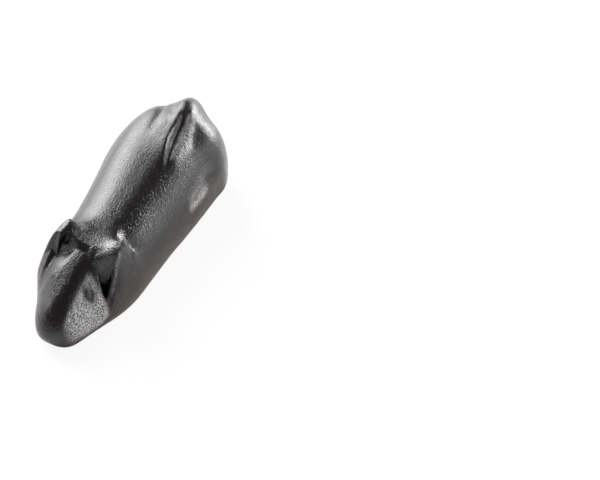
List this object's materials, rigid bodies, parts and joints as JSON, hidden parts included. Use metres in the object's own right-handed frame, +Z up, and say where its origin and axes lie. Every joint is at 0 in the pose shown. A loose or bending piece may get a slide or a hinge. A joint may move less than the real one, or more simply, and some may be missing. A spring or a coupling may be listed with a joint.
{
  "type": "licorice mouse",
  "caption": "Small moulded licorice sweet in the shape of a mouse, with cupped ears, pointed snout and a tail lying over the rump, resting on a flat underside",
  "frame": {"origin": "bottom centre of the mouse's bounding box, on the plane of its flat underside", "axes": "+Z up, -Y towards the nose and +Y towards the rump, +X towards the mouse's left side"},
  "size_m": [0.0142, 0.036, 0.0124],
  "materials": {
    "licorice": "near-black chewy licorice, satin gloss with a fine grainy moulded surface"
  },
  "bodies": {
    "root": {"licorice_mouse": "licorice"}
  },
  "joints": []
}
